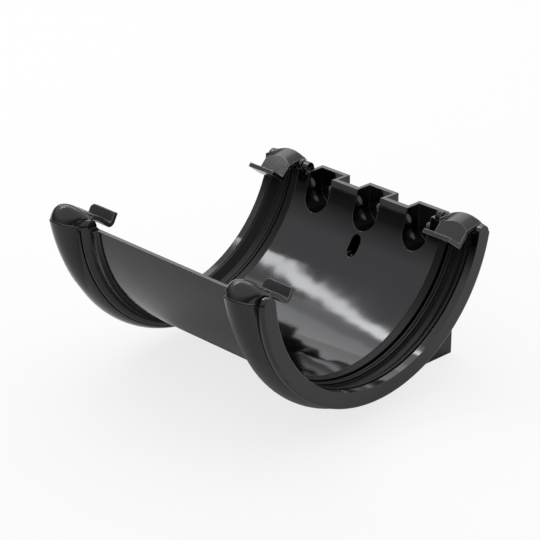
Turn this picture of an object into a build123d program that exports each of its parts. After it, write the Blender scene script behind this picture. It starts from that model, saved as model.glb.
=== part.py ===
from build123d import *
import math
import os

# Half-round gutter union. X runs along the gutter, Y towards the fascia board,
# Z up. The origin is on the gutter axis, midway between the two open ends.

# Trough
half_length = 60.75
bore_radius = 58.0
wall = 2.4
front_wall_top = -4.8
front_lip = 1.9
front_lip_drop = 2.4
back_rim = -10.8

# Sockets
shoulder_step = 0.6
shoulder_rib_width = 2.5
shoulder_rib_height = 1.7
shoulder_valley = 0.4
shoulder_drop = 2.3
shoulder_slope = 2.55
socket_depth = 7.2
socket_edge_radius = 1.3
end_ring = 3.5
seal_channel_depth = 3.2
front_bead_top = -1.2
back_dome_z = -11.5
back_dome_height = 3.7

# Straps around the sockets
strap_width = 14.2
strap_gap_to_end = 3.3
strap_crown = 2.5
slit_width = 0.55
slit_depth = 1.6
slit_bottom_depth = 0.4
flare_extra = 19.8
flare_angle = 50.0
flare_sink = 0.5
flare_overlap = 6.0

# Back bracket
fascia_gap = 1.35
back_plate = 2.2
bracket_overhang = 3.7
bracket_bottom = -73.9
bracket_top = -24.0
web = 2.2
web_count = 4
web_foot = 18.0
web_reach = 47.0
pocket_count = 3
pocket_margin = 12.3
pocket_mouth = 13.0
pocket_wall = 1.65
pocket_bottom = -26.3
screw_hole_radius = 2.4
screw_height = -19.8
vent_width = 5.2
vent_height = 8.4
vent_z = -32.0

# Seals
seal_clearance = 0.2
seal_end_clearance = 0.65
seal_strip_width = 3.4
seal_strip_rise = 0.1
seal_groove_width = 1.3
seal_groove_depth = 2.4
seal_rib_width = 0.9
seal_rib_rise = 0.5
seal_rib_gap = 0.5
seal_rib_count = 2
seal_valley_depth = 1.9
seal_valley_width = 3.2
seal_lip_radius = 57.7
seal_lip_width = 1.0
seal_slope_width = 3.2

# Clips
clip_wall = 1.9
clip_clearance = 0.25
front_seam_tilt = 18.0
front_clip_rim = 0.6
front_clip_core = 1.0
front_clip_turns = (front_seam_tilt, 30, 60, 90, 120, 150)
front_clip_heights = (7.2, 7.2, 6.7, 3.9, 2.3, 1.1)
front_crest_in = 4.4
front_crest_z = -3.4
front_valley_in = 9.8
front_valley_z = -8.2
front_tab_in = 12.6
front_tab_z = -2.9
front_tab_round = 2.4
front_bend_radius = 1.6
back_clip_crown = 1.5
back_clip_top = -6.0
back_clip_reach = 0.1
back_clip_ridge_angle = 11.0
back_arch_wall = 1.2
back_leg_width = 9.0
back_leg_round = 2.0
back_shelf_top = -8.9
back_leg_bottom = -17.0
back_valley_in = 9.1
back_valley_z = -14.55
back_tab_in = 15.3
back_tab_z = -9.85
back_fin_gap = 0.1
back_fin_top = -7.6

outer_radius = bore_radius + wall
socket_radius = bore_radius + socket_depth
rim_middle = (bore_radius + socket_radius) / 2
strap_outer_x = half_length - strap_gap_to_end
strap_inner_x = strap_outer_x - strap_width
strap_mid_x = (strap_outer_x + strap_inner_x) / 2
strap_half = strap_width / 2
channel_radius = bore_radius + seal_channel_depth
channel_end = half_length - end_ring
seal_width = (
    seal_strip_width + seal_groove_width + seal_rib_count * (seal_rib_width + seal_rib_gap)
    + seal_valley_width + seal_slope_width + seal_lip_width
)
seal_start = channel_end - seal_end_clearance - seal_width - seal_clearance
slope_start = strap_inner_x - shoulder_slope
rib_end = slope_start - 2 * shoulder_valley
rib_start = rib_end - shoulder_rib_width
rib_radius = outer_radius + shoulder_rib_height
shoulder_start = rib_start - shoulder_step
bead_radius = socket_depth / 2
bead_z = front_bead_top - bead_radius
bead_y = -(math.sqrt(bore_radius**2 - bead_z**2) + math.sqrt(socket_radius**2 - bead_z**2)) / 2
fascia_y = socket_radius + fascia_gap
bracket_half_width = shoulder_start + bracket_overhang
pocket_pitch = bracket_half_width - pocket_margin
far = 3 * socket_radius
sides = (-1, 1)
hands = ("left", "right")

# The straps' crown leaves its circle before flare_angle, where the larger arc dips under it
flare_radius = socket_radius + flare_extra
flare_offset = flare_extra - strap_crown + flare_sink
flare_y = flare_offset * math.cos(math.radians(flare_angle))
flare_z = flare_offset * math.sin(math.radians(flare_angle))

# The trough and sockets are half a section, turned through the lower half circle
lower_half = Axis((0, 0, 0), (-1, 0, 0))

# The front clips meet the straps on planes through the beads that rise to the front
seam_angle = math.radians(front_seam_tilt)
seams = [
    Plane(
        origin=(side * strap_mid_x, bead_y, bead_z - clip_clearance),
        x_dir=(1, 0, 0), z_dir=(0, math.sin(seam_angle), math.cos(seam_angle)),
    )
    for side in sides
]

# Rounded tops of the rims, each with the outer radii at its ends
slit_start = strap_inner_x - slit_width
edge_start = half_length - socket_edge_radius
edge_end_radius = socket_radius - socket_edge_radius
slope_radius = socket_radius - shoulder_drop
slope_end_radius = socket_radius - shoulder_drop * slit_width / shoulder_slope
front_domes = (
    (slope_start, slope_radius, strap_inner_x, socket_radius),
    (strap_inner_x, socket_radius, edge_start, socket_radius),
    (edge_start, socket_radius, half_length, edge_end_radius),
)
back_domes = (
    (shoulder_start, slope_radius, rib_end, slope_radius),
    (slope_start, slope_radius, slit_start, slope_end_radius),
    (strap_outer_x + slit_width, socket_radius, half_length, edge_end_radius),
)


def dome_section(facing, base, height, radius):
    """The rounded top of a rim in the open sketch, from the bore out to a radius."""
    inner = math.sqrt(bore_radius**2 - base**2)
    outer = math.sqrt(radius**2 - base**2)
    with Locations((facing * (inner + outer) / 2, base)):
        Ellipse((outer - inner) / 2, height)
        Rectangle(far, far, align=(Align.CENTER, Align.MAX), mode=Mode.SUBTRACT)


def socket_outline(side):
    """Edges of the body's lengthways section, from its middle to one open end."""
    edge = socket_edge_radius
    nip = edge * (1 - math.sqrt(0.5))
    with BuildLine() as outline:
        Polyline(
            (0, bore_radius), (0, outer_radius), (side * shoulder_start, outer_radius),
            (side * rib_start, rib_radius), (side * rib_end, rib_radius),
            (side * (rib_end + shoulder_valley), rib_radius - shoulder_valley),
            (side * slope_start, slope_radius),
            (side * strap_inner_x, socket_radius),
        )
        ThreePointArc(
            (side * strap_inner_x, socket_radius),
            (side * strap_mid_x, socket_radius + strap_crown),
            (side * strap_outer_x, socket_radius),
        )
        Line((side * strap_outer_x, socket_radius), (side * (half_length - edge), socket_radius))
        ThreePointArc(
            (side * (half_length - edge), socket_radius),
            (side * (half_length - nip), socket_radius - nip),
            (side * half_length, socket_radius - edge),
        )
        Polyline(
            (side * half_length, socket_radius - edge), (side * half_length, bore_radius),
            (side * channel_end, bore_radius), (side * channel_end, channel_radius),
            (side * seal_start, channel_radius), (side * seal_start, bore_radius), (0, bore_radius),
        )
    return outline.edges()


def pocket_shapes(width):
    """The rounded slots of the screw pockets, as wide as given, in the open sketch."""
    floor = pocket_bottom + pocket_mouth / 2
    for i in range(pocket_count):
        x = (i - (pocket_count - 1) / 2) * pocket_pitch
        with Locations((x, floor)):
            Circle(width / 2)
        with Locations((x, (floor + back_rim) / 2)):
            Rectangle(width, back_rim - floor)


# Flared tops of the straps at the front rim
with BuildPart() as strap_flares:
    for side in sides:
        with BuildSketch(Plane.XY.offset(flare_z)) as crown:
            with Locations((side * strap_mid_x, flare_y - flare_radius + strap_half)):
                Circle(strap_half)
            with Locations((side * strap_mid_x, flare_y - flare_radius + 1.5 * strap_half)):
                Rectangle(strap_width, strap_half)
        flare_axis = Axis((0, flare_y, flare_z), (1, 0, 0))
        revolve(crown.sketch, axis=flare_axis, revolution_arc=flare_angle + flare_overlap)
    Cylinder(socket_radius - wall / 2, far, rotation=(0, 90, 0), mode=Mode.SUBTRACT)
    for seam in seams:
        with Locations(seam.location):
            Box(half_length, far, far, align=(Align.CENTER, Align.MAX, Align.MIN), mode=Mode.SUBTRACT)

# Plate on the fascia with its webs and the outsides of the screw pockets
with BuildPart() as bracket:
    with BuildSketch(Plane.XZ.offset(-fascia_y)):
        pocket_shapes(pocket_mouth + 2 * pocket_wall)
    extrude(amount=fascia_y - bore_radius / 2)
    with BuildSketch(Plane.XZ.offset(-fascia_y)):
        with Locations((0, (bracket_top + bracket_bottom) / 2)):
            Rectangle(2 * bracket_half_width, bracket_top - bracket_bottom)
    extrude(amount=back_plate)
    web_pitch = (2 * bracket_half_width - web) / (web_count - 1)
    for i in range(web_count):
        with BuildSketch(Plane.YZ.offset(i * web_pitch - bracket_half_width)):
            with BuildLine():
                Polyline(
                    (fascia_y, bracket_top), (fascia_y, bracket_bottom),
                    (fascia_y - web_foot, bracket_bottom), (fascia_y - web_reach, -bore_radius),
                    (bore_radius / 2, bracket_top), close=True,
                )
            make_face()
        extrude(amount=web)
    Cylinder(outer_radius - wall / 2, far, rotation=(0, 90, 0), mode=Mode.SUBTRACT)

# What the clips take the place of at the ends of the straps
with BuildPart() as strap_ends:
    for side, seam in zip(sides, seams):
        with Locations(seam.location):
            Box(strap_width, far, far, align=(Align.CENTER, Align.MAX, Align.MIN))
        with Locations((side * strap_mid_x, 0, back_leg_bottom - clip_clearance)):
            Box(strap_width, far, far, align=(Align.CENTER, Align.MIN, Align.MIN))
    Cylinder(socket_radius, far, rotation=(0, 90, 0), mode=Mode.SUBTRACT)

# The union itself, one moulding
with BuildPart() as union_body:
    for side in sides:
        with BuildSketch(Plane.XY) as section:
            make_face(socket_outline(side))
        revolve(section.sketch, axis=lower_half, revolution_arc=180)

    # Slits beside the straps, deepest at the rims
    for side in sides:
        for slit_x in (strap_inner_x - slit_width / 2, strap_outer_x + slit_width / 2):
            with BuildSketch(Plane.YZ.offset(side * slit_x - slit_width / 2)):
                Circle(socket_radius + strap_width)
                with Locations((0, slit_bottom_depth - slit_depth)):
                    Circle(socket_radius - slit_depth, mode=Mode.SUBTRACT)
            extrude(amount=slit_width, mode=Mode.SUBTRACT)

    # Rims, with a thinner lip on the trough's front
    with Locations((0, 0, back_rim)):
        Box(far, far, far, align=(Align.CENTER, Align.MIN, Align.MIN), mode=Mode.SUBTRACT)
    with Locations((0, 0, front_wall_top)):
        Box(2 * rib_end, far, far, align=(Align.CENTER, Align.MAX, Align.MIN), mode=Mode.SUBTRACT)
    for side in sides:
        with Locations((side * (rib_end + far / 2), 0, bead_z)):
            Box(far, far, far, align=(Align.CENTER, Align.MAX, Align.MIN), mode=Mode.SUBTRACT)
    lip_y = front_lip - math.sqrt(outer_radius**2 - front_wall_top**2)
    with BuildSketch(Plane.YZ.offset(-rib_end)):
        with BuildLine():
            Polyline(
                (lip_y, front_wall_top), (lip_y + front_lip_drop, front_wall_top),
                (lip_y + front_lip_drop, front_wall_top - front_lip_drop), close=True,
            )
        make_face()
    extrude(amount=2 * rib_end, mode=Mode.SUBTRACT)

    # Rounded tops along the front of the sockets, and on the back's shoulder ribs and beside the clips
    for facing, domes, base, height in (
        (-1, front_domes, bead_z, bead_radius), (1, back_domes, back_dome_z, back_dome_height),
    ):
        for first, first_radius, last, last_radius in domes:
            for side in sides:
                with Locations((side * (first + last) / 2, facing * far / 2, base)):
                    Box(
                        last - first, far, far,
                        align=(Align.CENTER, Align.CENTER, Align.MIN), mode=Mode.SUBTRACT,
                    )
                for place, radius in ((first, first_radius), (last, last_radius)):
                    with BuildSketch(Plane.YZ.offset(side * place)):
                        dome_section(facing, base, height, radius)
                loft()
    add(strap_flares.part)

    # Bracket, then the holes through it
    add(bracket.part)
    with BuildSketch(Plane.XZ.offset(-fascia_y + back_plate)):
        pocket_shapes(pocket_mouth)
    extrude(amount=fascia_y - back_plate - bore_radius / 2, mode=Mode.SUBTRACT)
    with BuildSketch(Plane.XZ.offset(-fascia_y)):
        with GridLocations(pocket_pitch, 1, pocket_count, 1):
            with Locations((0, screw_height)):
                Circle(screw_hole_radius)
    extrude(amount=back_plate, mode=Mode.SUBTRACT)
    with BuildSketch(Plane.XZ.offset(-outer_radius)):
        with Locations((0, vent_z)):
            SlotOverall(vent_height, vent_width, rotation=90)
    extrude(amount=outer_radius - bore_radius / 2, mode=Mode.SUBTRACT)

    # Room for the clips, and nothing behind the fascia line
    add(strap_ends.part, mode=Mode.SUBTRACT)
    with Locations((0, fascia_y, 0)):
        Box(far, far, 2 * far, align=(Align.CENTER, Align.MIN, Align.CENTER), mode=Mode.SUBTRACT)

union_body.part.label = "union_body"
os.makedirs("parts", exist_ok=True)
export_step(union_body.part, "parts/union_body.step")


def seal_outline(side):
    """Edges of a seal's lengthways section, from the flat strip out to its lip."""
    base = channel_radius - seal_clearance
    strip = bore_radius + seal_strip_rise
    groove = strip + seal_groove_depth
    ribs = strip + seal_rib_rise
    valley = strip + seal_valley_depth
    x = seal_start + seal_clearance
    points = [(x, base), (x, strip), (x + seal_strip_width, strip)]
    x += seal_strip_width
    points += [(x, groove), (x + seal_groove_width, groove)]
    x += seal_groove_width
    for _ in range(seal_rib_count):
        points += [(x, ribs), (x + seal_rib_width, ribs), (x + seal_rib_width, valley - seal_rib_rise)]
        x += seal_rib_width + seal_rib_gap
        points.append((x, valley - seal_rib_rise))
    points += [(x, valley), (x + seal_valley_width, valley)]
    x += seal_valley_width + seal_slope_width
    points += [(x, seal_lip_radius), (x + seal_lip_width, seal_lip_radius), (x + seal_lip_width, base)]
    with BuildLine() as outline:
        Polyline(*[(side * px, py) for px, py in points], close=True)
    return outline.edges()


# Rubber seal in the channel of each socket
for side, hand in zip(sides, hands):
    with BuildPart() as seal:
        with BuildSketch(Plane.XY) as section:
            make_face(seal_outline(side))
        revolve(section.sketch, axis=lower_half, revolution_arc=180)
        with Locations((0, 0, back_dome_z - seal_clearance)):
            Box(far, far, far, align=(Align.CENTER, Align.MIN, Align.MIN), mode=Mode.SUBTRACT)
        with Locations((0, 0, bead_z - bead_radius - seal_clearance)):
            Box(far, far, far, align=(Align.CENTER, Align.MAX, Align.MIN), mode=Mode.SUBTRACT)
    seal.part.label = f"{hand}_seal"
    export_step(seal.part, f"parts/{hand}_seal.step")

# Front clips, a crowned nose over the bead that runs down into a thumb tab
tab_run = Axis((0, 0, 0), (0, front_tab_in - front_valley_in, front_tab_z - front_valley_z))
for side, hand in zip(sides, hands):
    with BuildPart() as front_clip:
        for turn, height in zip(front_clip_turns, front_clip_heights):
            angle = math.radians(turn)
            peak = bead_radius + height
            flank = bead_radius + clip_clearance + front_clip_rim
            station = Plane(
                origin=(side * strap_mid_x, bead_y, bead_z),
                x_dir=(1, 0, 0), z_dir=(0, -math.sin(angle), -math.cos(angle)),
            )
            with BuildSketch(station):
                with BuildLine():
                    Polyline(
                        (-strap_half, flank), (-strap_half, front_clip_core),
                        (strap_half, front_clip_core), (strap_half, flank),
                    )
                    ThreePointArc((strap_half, flank), (0, peak), (-strap_half, flank))
                make_face()
        loft()
        with BuildSketch(Plane.YZ.offset(side * strap_mid_x - strap_half)):
            with BuildLine() as leg:
                FilletPolyline(
                    (bead_y + bead_radius, bead_z + bead_radius),
                    (front_crest_in - bore_radius, front_crest_z),
                    (front_valley_in - bore_radius, front_valley_z),
                    (front_tab_in - bore_radius, front_tab_z),
                    radius=front_bend_radius,
                )
            trace(leg.line, clip_wall)
        extrude(amount=strap_width)
        fillet(front_clip.edges().group_by(tab_run)[-1].sort_by(Axis.X)[0], front_tab_round)
        void = bead_radius + clip_clearance
        with BuildSketch(Plane.YZ.offset(side * strap_mid_x - strap_half)):
            with Locations((bead_y, bead_z)):
                Circle(void)
                Rectangle(2 * void, far, align=(Align.CENTER, Align.MAX))
        extrude(amount=strap_width, mode=Mode.SUBTRACT)
    front_clip.part.label = f"{hand}_front_clip"
    export_step(front_clip.part, f"parts/{hand}_front_clip.step")

# Back clips, an arched cap that rises to the back, a leg behind it and a sloping face with a tab
ridge_angle = math.radians(back_clip_ridge_angle)
arch_radius = (strap_half**2 + back_clip_crown**2) / (2 * back_clip_crown)
back_valley_y = bore_radius - back_valley_in
face_line = back_valley_y - back_valley_z - clip_wall * math.sqrt(0.5)
face_inside = face_line + clip_wall * math.sqrt(2)
leg_outer = fascia_y - clip_clearance / 2
leg_inner = leg_outer - clip_wall
rim_gap = back_rim + clip_clearance
face_top = back_valley_y - back_valley_z + rim_gap
cap_end = rim_middle + back_clip_reach
cap_inside = cap_end - clip_wall
fin_width = slit_width - back_fin_gap
for side, hand in zip(sides, hands):
    clip_start = side * strap_mid_x - strap_half
    arch_plane = Plane(
        origin=(side * strap_mid_x, cap_end, back_clip_top),
        x_dir=(1, 0, 0), z_dir=(0, -math.cos(ridge_angle), -math.sin(ridge_angle)),
    )
    with BuildPart() as tunnel:
        with BuildSketch(Plane.YZ.offset(clip_start)):
            with BuildLine():
                Polyline(
                    (face_inside + rim_gap, rim_gap), (cap_inside, cap_inside - face_inside),
                    (cap_inside, rim_gap), close=True,
                )
            make_face()
        extrude(amount=strap_width)
        with BuildSketch(arch_plane):
            with Locations((0, -arch_radius)):
                Circle(arch_radius - back_arch_wall)
        extrude(amount=far, both=True, mode=Mode.INTERSECT)
    with BuildPart() as back_clip:
        with BuildSketch(Plane.YZ.offset(clip_start)):
            with BuildLine():
                Polyline(
                    (cap_end, rim_gap), (cap_end, cap_end - face_line),
                    (face_line + rim_gap, rim_gap), close=True,
                )
            make_face()
        extrude(amount=strap_width)
        with BuildSketch(arch_plane):
            with Locations((0, -arch_radius)):
                Circle(arch_radius)
        extrude(amount=far, both=True, mode=Mode.INTERSECT)
        add(tunnel.part, mode=Mode.SUBTRACT)
        with BuildSketch(Plane.YZ.offset(side * strap_mid_x - back_leg_width / 2)):
            with BuildLine():
                Polyline(
                    (cap_inside, rim_gap), (cap_inside, back_shelf_top),
                    (leg_outer - back_leg_round, back_shelf_top),
                    (leg_outer, back_shelf_top - back_leg_round),
                    (leg_outer, back_leg_bottom), (leg_inner, back_leg_bottom),
                    (leg_inner, rim_gap), close=True,
                )
            make_face()
        extrude(amount=back_leg_width)
        with BuildSketch(Plane.YZ.offset(clip_start)):
            with BuildLine() as face_and_tab:
                Polyline(
                    (bore_radius - back_tab_in, back_tab_z), (back_valley_y, back_valley_z),
                    (face_top, rim_gap),
                )
            trace(face_and_tab.line, clip_wall)
        extrude(amount=strap_width)
        with BuildSketch(Plane.YZ.offset(clip_start)):
            with Locations(((face_top + cap_end) / 2, rim_gap)):
                Rectangle(cap_end - face_top, back_fin_top - rim_gap, align=(Align.CENTER, Align.MIN))
        extrude(amount=-fin_width)
    back_clip.part.label = f"{hand}_back_clip"
    export_step(back_clip.part, f"parts/{hand}_back_clip.step")
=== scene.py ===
# Looks for a half-round gutter union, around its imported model
import math

import bpy
import numpy as np
from mathutils import Matrix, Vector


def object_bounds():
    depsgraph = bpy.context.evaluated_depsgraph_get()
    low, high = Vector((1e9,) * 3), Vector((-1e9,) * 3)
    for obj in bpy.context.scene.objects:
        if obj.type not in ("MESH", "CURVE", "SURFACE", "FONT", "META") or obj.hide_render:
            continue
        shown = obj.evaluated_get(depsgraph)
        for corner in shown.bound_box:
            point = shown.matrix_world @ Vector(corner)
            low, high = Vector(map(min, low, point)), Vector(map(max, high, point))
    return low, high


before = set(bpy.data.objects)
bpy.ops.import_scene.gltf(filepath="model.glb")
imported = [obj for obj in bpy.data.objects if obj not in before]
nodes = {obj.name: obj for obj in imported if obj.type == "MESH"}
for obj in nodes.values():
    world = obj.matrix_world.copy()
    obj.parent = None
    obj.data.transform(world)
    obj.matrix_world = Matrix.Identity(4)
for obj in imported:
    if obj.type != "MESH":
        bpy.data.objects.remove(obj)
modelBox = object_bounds()
print("frame loaded:", ", ".join(sorted(nodes)))


class Value:
    # One output socket. Each operator adds a Math node, and the reflected forms let a number come first.
    def __init__(self, tree, socket):
        self.tree = tree
        self.socket = socket

    def maths(self, operation, *terms):
        node = self.tree.nodes.new("ShaderNodeMath")
        node.operation = operation
        for slot, term in zip(node.inputs, terms):
            if isinstance(term, Value):
                self.tree.links.new(term.socket, slot)
            else:
                slot.default_value = term
        return Value(self.tree, node.outputs[0])

    def __add__(self, other):
        return self.maths("ADD", self, other)

    __radd__ = __add__

    def __sub__(self, other):
        return self.maths("SUBTRACT", self, other)

    def __rsub__(self, other):
        return self.maths("SUBTRACT", other, self)

    def __mul__(self, other):
        return self.maths("MULTIPLY", self, other)

    __rmul__ = __mul__

    def __pow__(self, other):
        return self.maths("POWER", self, other)

    def __rpow__(self, other):
        return self.maths("POWER", other, self)

    def most(self, other):
        return self.maths("MAXIMUM", self, other)


class Graph:
    # A node tree, with one method that makes every node but the Math ones
    def __init__(self, tree):
        self.tree = tree

    def node(self, kind, settings=None, inputs=None, output=0):
        made = self.tree.nodes.new("ShaderNode" + kind)
        settings = dict(settings or {})
        stops = settings.pop("stops", None)
        for name, value in settings.items():
            setattr(made, name, value)
        if stops:
            ramp = made.color_ramp
            while len(ramp.elements) < len(stops):
                ramp.elements.new(1)
            for element, (place, level) in zip(ramp.elements, stops):
                element.position = place
                element.color = (level, level, level, 1)
        for name, value in (inputs or {}).items():
            if isinstance(value, Value):
                self.tree.links.new(value.socket, made.inputs[name])
            else:
                made.inputs[name].default_value = value
        return Value(self.tree, made.outputs[output])

    def parts(self, vector):
        # The x, y and z of a vector
        split = self.node("SeparateXYZ", inputs={"Vector": vector}).socket.node
        return [Value(self.tree, part) for part in split.outputs]

    def ramp(self, value, stops):
        # A grey level by the stops of place and level, straight between them
        return self.node("ValToRGB", {"stops": stops}, {"Fac": value})


class Finish(Graph):
    # A material with its Principled shader, whose sockets take the constants
    def __init__(self, name, **constants):
        self.material = bpy.data.materials.new(name)
        self.material.use_nodes = True
        super().__init__(self.material.node_tree)
        self.shader = self.tree.nodes["Principled BSDF"]
        for socket, value in constants.items():
            self.shader.inputs[socket.replace("_", " ")].default_value = value

    def feed(self, socket, value):
        self.tree.links.new(value.socket, self.shader.inputs[socket])

    def place(self):
        # Object coordinates
        return self.node("TexCoord", output="Object")

    def noise(self, where, scale, detail, roughness=0.5):
        return self.node("TexNoise", inputs={
            "Vector": where, "Scale": scale, "Detail": detail, "Roughness": roughness})

    def between(self, value, low, high):
        # 0 below low, 1 above high, smooth between them
        return self.node("MapRange", {"interpolation_type": "SMOOTHSTEP"},
                         {"Value": value, "From Min": low, "From Max": high})

    def blend(self, factor, first, second):
        # first where the factor is 0, second where it is 1
        return self.node("Mix", {"data_type": "RGBA"}, {0: factor, 6: first, 7: second}, output=2)

    def edges(self, radius):
        # The normal as if edges had the radius, and a mask that grows with 1 - its cosine to the face's own;
        # the mask places a painted edge highlight
        soft = self.node("Bevel", {"samples": edgeLook["samples"]}, {"Radius": radius})
        face = self.node("NewGeometry", output="Normal")
        cosine = self.node("VectorMath", {"operation": "DOT_PRODUCT"}, {0: soft, 1: face}, output="Value")
        return soft, self.between(1 - cosine, edgeLook["from"], edgeLook["to"])

    def relief(self, height, strength, soft):
        # The height is in metres, on top of the rounded edges
        bumped = self.node("Bump", inputs={
            "Height": height, "Strength": strength, "Distance": 1.0, "Normal": soft})
        self.feed("Normal", bumped)


# How an edge is found, for every finish
edgeLook = {"samples": 6, "from": 0.004, "to": 0.08}


# Moulded plastic of the union's body
bodyLook = {
    "colour": (0.0016, 0.0016, 0.0018, 1),
    "worn": (0.0035, 0.0035, 0.0038, 1),
    "ior": 1.5,
    "sheen": (0.94, 0.96, 1.0, 1),      # the gloss is faintly blue
    "gloss": 0.085,                     # roughness in the trough
    "satin": 0.1,                       # roughness outside
    "glossTo": 0.0592, "satinFrom": 0.0600,     # radii from the gutter's axis
    "cloudScale": 28.0, "cloudDetail": 4.0,
    "cloudRoughness": 0.10,             # how much the clouds change the roughness
    "waveScale": 34.0,                  # slow waves left by the mould, seen in the reflections
    "waveHeight": 0.0004,
    "grainScale": 900.0,
    "grainHeight": 0.00001,
    "fineDetail": 2.0,                  # of the waves and the grain
    "reliefStrength": 0.6,
    "edge": 0.0005,                     # how far the edges are rounded, and how wide their painted highlight is
    # painted highlight along the edges, patchy by the clouds
    "paintedEdgeHighlight": (0.05, 0.05, 0.052, 1),
}


def mouldedPlastic(look):
    # Radius from the gutter's axis = sqrt(y^2 + z^2): the trough inside is glossier than the wall's outside
    finish = Finish("body", IOR=look["ior"], Specular_Tint=look["sheen"])
    where = finish.place()
    y, z = finish.parts(where)[1:]
    outside = finish.between((y * y + z * z) ** 0.5, look["glossTo"], look["satinFrom"])
    cloud = finish.noise(where, look["cloudScale"], look["cloudDetail"])
    wave = finish.noise(where, look["waveScale"], look["fineDetail"])
    grain = finish.noise(where, look["grainScale"], look["fineDetail"])
    soft, edge = finish.edges(look["edge"])
    plain = finish.blend(cloud, look["colour"], look["worn"])
    # Edges are lighter with a painted highlight, patchy by the clouds
    finish.feed("Base Color", finish.blend(edge * cloud, plain, look["paintedEdgeHighlight"]))
    finish.feed("Roughness", look["gloss"] + outside * (look["satin"] - look["gloss"])
                + (cloud - 0.5) * look["cloudRoughness"])
    finish.relief(wave * look["waveHeight"] + grain * look["grainHeight"], look["reliefStrength"], soft)
    return finish.material


# Rubber seals
sealLook = {
    "colour": (0.0012, 0.0012, 0.0012, 1),
    "dust": (0.004, 0.004, 0.0039, 1),
    "ior": 1.45,
    "specular": 0.2,
    "roughness": 0.42,
    "bloomScale": 60.0, "bloomDetail": 5.0, "bloomMix": 0.6,
    "bloomStops": ((0.35, 0.0), (0.7, 1.0)),    # the noise's level, the dust's share
    "bloomRoughness": 0.2,              # how much the bloom changes the roughness
    "grainScale": 1500.0, "grainDetail": 2.0,
    "grainHeight": 0.00003,
    "reliefStrength": 0.3,
    "edge": 0.0003,                     # how far the ribs' edges are rounded, and how wide their painted highlight is
    # painted highlight along the ribs' edges
    "paintedEdgeHighlight": (0.035, 0.035, 0.034, 1),
}


def sealRubber(look):
    # Dust lies where a slow noise is high, and the ribs' edges get a painted highlight
    finish = Finish("seal", IOR=look["ior"], Specular_IOR_Level=look["specular"])
    where = finish.place()
    bloom = finish.noise(where, look["bloomScale"], look["bloomDetail"], look["bloomMix"])
    grain = finish.noise(where, look["grainScale"], look["grainDetail"])
    soft, edge = finish.edges(look["edge"])
    plain = finish.blend(finish.ramp(bloom, look["bloomStops"]), look["colour"], look["dust"])
    # The ribs' edges are lighter with a painted highlight
    finish.feed("Base Color", finish.blend(edge, plain, look["paintedEdgeHighlight"]))
    finish.feed("Roughness", look["roughness"] + (bloom - 0.5) * look["bloomRoughness"])
    finish.relief(grain * look["grainHeight"], look["reliefStrength"], soft)
    return finish.material


# Clips over the back rims, in plain moulded plastic
backClipLook = {
    "colour": (0.005, 0.005, 0.0053, 1),
    "lighter": (0.00675, 0.00675, 0.007155, 1),
    "ior": 1.5,
    "gloss": 0.17,                      # roughness
    "cloudScale": 120.0, "cloudDetail": 4.0,
    "cloudRoughness": 0.12,             # how much the clouds change the roughness
    "cloudHeight": 0.0001,
    "grainScale": 1100.0, "grainDetail": 2.0,
    "grainHeight": 0.00002,
    "reliefStrength": 0.3,
    "edge": 0.00065,                    # how far the edges are rounded, and how wide their painted highlight is
    # painted highlight along the edges
    "paintedEdgeHighlight": (0.2, 0.2, 0.204, 1),
}
# Clips over the front rims: the same plastic, polished on the cap and grained on the tab
frontClipLook = dict(
    backClipLook, gloss=0.12,
    tab=(-0.0585, -0.0565),             # y over which the tab begins
    tabRoughness=0.38,
    speckScale=1700.0, speckDetail=3.0, speckMix=0.7,
    speckStops=((0.52, 0.0), (0.66, 1.0)),      # the noise's level, the speck's share
    speckHeight=0.00004,
    scuffed=(0.03, 0.03, 0.031, 1),
)


def clipPlastic(name, look):
    # Colour and roughness follow a cloud noise. A tab adds specks, shown by how far y is past its beginning.
    finish = Finish(name, IOR=look["ior"])
    where = finish.place()
    cloud = finish.noise(where, look["cloudScale"], look["cloudDetail"])
    grain = finish.noise(where, look["grainScale"], look["grainDetail"])
    soft, edge = finish.edges(look["edge"])
    colour = finish.blend(cloud, look["colour"], look["lighter"])
    roughness = look["gloss"] + (cloud - 0.5) * look["cloudRoughness"]
    height = grain * look["grainHeight"] + cloud * look["cloudHeight"]
    if "tab" in look:
        tab = finish.between(finish.parts(where)[1], *look["tab"])
        speck = tab * finish.ramp(finish.noise(
            where, look["speckScale"], look["speckDetail"], look["speckMix"]), look["speckStops"])
        colour = finish.blend(speck, colour, look["scuffed"])
        roughness = roughness + tab * (look["tabRoughness"] - look["gloss"])
        height = height + speck * look["speckHeight"]
    # Edges are lighter with a painted highlight
    finish.feed("Base Color", finish.blend(edge, colour, look["paintedEdgeHighlight"]))
    finish.feed("Roughness", roughness)
    finish.relief(height, look["reliefStrength"], soft)
    return finish.material


body = mouldedPlastic(bodyLook)
seal = sealRubber(sealLook)
frontClip = clipPlastic("frontClip", frontClipLook)
backClip = clipPlastic("backClip", backClipLook)
for nodeName, material in {
    "union_body": body, "left_seal": seal, "right_seal": seal,
    "left_front_clip": frontClip, "right_front_clip": frontClip,
    "left_back_clip": backClip, "right_back_clip": backClip,
}.items():
    slots = nodes[nodeName].data.materials
    slots.clear()
    slots.append(material)
print("finishes made")


# Floor, sky and lamps
studio = {
    "floorSize": 3.0,
    "floorGap": 0.0002,     # under the object
    "floorColour": (0.82, 0.82, 0.82, 1),
    "floorRoughness": 0.9,
    "floorShare": 0.22,     # of the floor's white that the lamps light, and that shadows darken
    "skyStops": ((0.0, 0.08), (0.12, 0.15), (0.32, 0.65), (0.45, 1.0)),   # sine of elevation, level
    "lamps": (
        # name, place, aimed at, long side's direction, length, width, radiance
        ("stripBox", (-0.436, -0.02, 0.485), (0, 0.03, -0.04), (0.33, 0.88, 0.31), 0.34, 0.045, 10.5),
        ("backBox", (-0.75, 0.68, 0.62), (0, 0, -0.03), (0.7, 0.7, 0), 1.2, 0.7, 0.8),
        ("capBox", (-0.47, 0.22, 0.53), (0, 0, -0.02), (0.42, 0.9, 0), 0.3, 0.3, 0.8),
    ),
}


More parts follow.
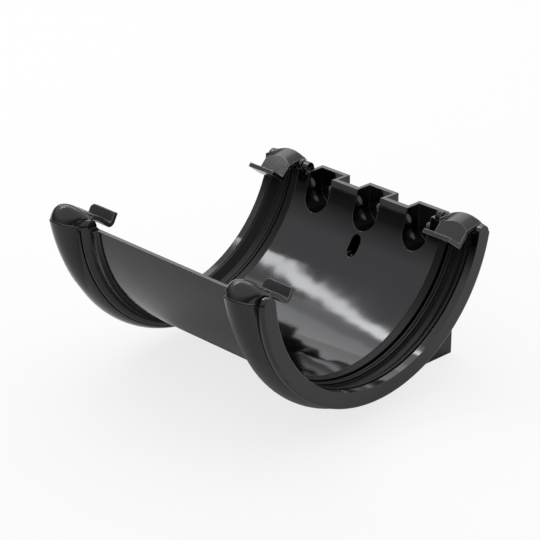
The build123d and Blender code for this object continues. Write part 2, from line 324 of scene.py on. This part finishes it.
def paleFloor():
    # A square under the object. The camera sees it mostly white, and lit and shadowed by floorShare.
    half = studio["floorSize"] / 2
    level = modelBox[0][2] - studio["floorGap"]
    mesh = bpy.data.meshes.new("floor")
    mesh.from_pydata([(-half, -half, level), (half, -half, level), (half, half, level),
                      (-half, half, level)], [], [(0, 1, 2, 3)])
    floor = bpy.data.objects.new("floor", mesh)
    bpy.context.scene.collection.objects.link(floor)
    finish = Finish("floor", Base_Color=studio["floorColour"], Roughness=studio["floorRoughness"])
    seen = finish.node("LightPath", output="Is Camera Ray").most(
        finish.node("LightPath", output="Is Transmission Ray"))
    glow = finish.node("Emission", inputs={"Color": (1, 1, 1, 1), "Strength": 1.0})
    mixed = finish.node("MixShader", inputs={
        0: seen * (1 - studio["floorShare"]), 1: Value(finish.tree, finish.shader.outputs[0]), 2: glow})
    finish.tree.links.new(mixed.socket, finish.tree.nodes["Material Output"].inputs["Surface"])
    mesh.materials.append(finish.material)


def paleSky():
    # Level by the sine of the elevation, dim at the horizon and white above, and all white for the camera
    world = bpy.data.worlds.new("studio")
    bpy.context.scene.world = world
    world.use_nodes = True
    sky = Graph(world.node_tree)
    sine = sky.parts(sky.node("TexCoord", output="Generated"))[2]
    level = sky.node("LightPath", output="Is Camera Ray").most(sky.ramp(sine, studio["skyStops"]))
    sky.tree.links.new(level.socket, sky.tree.nodes["Background"].inputs["Color"])


def stand(name, data, across, back, place):
    # Puts a lamp or camera at place, with its local X across and its local Z back
    turn = np.eye(4)
    turn[:3, 0], turn[:3, 1], turn[:3, 2], turn[:3, 3] = across, np.cross(back, across), back, place
    holder = bpy.data.objects.new(name, data)
    bpy.context.scene.collection.objects.link(holder)
    holder.matrix_world = Matrix(turn.tolist())
    return holder


def softBox(name, place, target, along, length, width, radiance):
    # Power = radiance x pi x area. Across is the long side's direction, less its part towards the target.
    lamp = bpy.data.lights.new(name, "AREA")
    lamp.shape = "RECTANGLE"
    lamp.size, lamp.size_y = length, width
    lamp.energy = radiance * math.pi * length * width
    back = np.array(place) - np.array(target)
    back = back / np.linalg.norm(back)
    across = np.array(along) - np.dot(along, back) * back
    stand(name, lamp, across / np.linalg.norm(across), back, place)


paleFloor()
paleSky()
for lampValues in studio["lamps"]:
    softBox(*lampValues)


# The camera, with its angles in degrees and its lens in millimetres
cameraSet = {"place": (0.57254, -0.56633, 0.33296), "azimuth": 45.3727, "elevation": 24.1566,
             "roll": 0.337, "lens": 144.737, "sensor": 36.0}


def photoCamera():
    # Back = the unit vector at the azimuth and elevation. Across is level, then turned about it by the roll.
    camera = bpy.data.cameras.new("camera")
    camera.lens, camera.sensor_width = cameraSet["lens"], cameraSet["sensor"]
    azimuth, elevation, roll = (math.radians(cameraSet[key]) for key in ("azimuth", "elevation", "roll"))
    back = np.array((math.sin(azimuth) * math.cos(elevation),
                     -math.cos(azimuth) * math.cos(elevation), math.sin(elevation)))
    level = np.array((math.cos(azimuth), math.sin(azimuth), 0))
    across = math.cos(roll) * level + math.sin(roll) * np.cross(back, level)
    bpy.context.scene.camera = stand("camera", camera, across, back, cameraSet["place"])


photoCamera()
bpy.context.scene.view_settings.view_transform = "Standard"
print("studio ready")
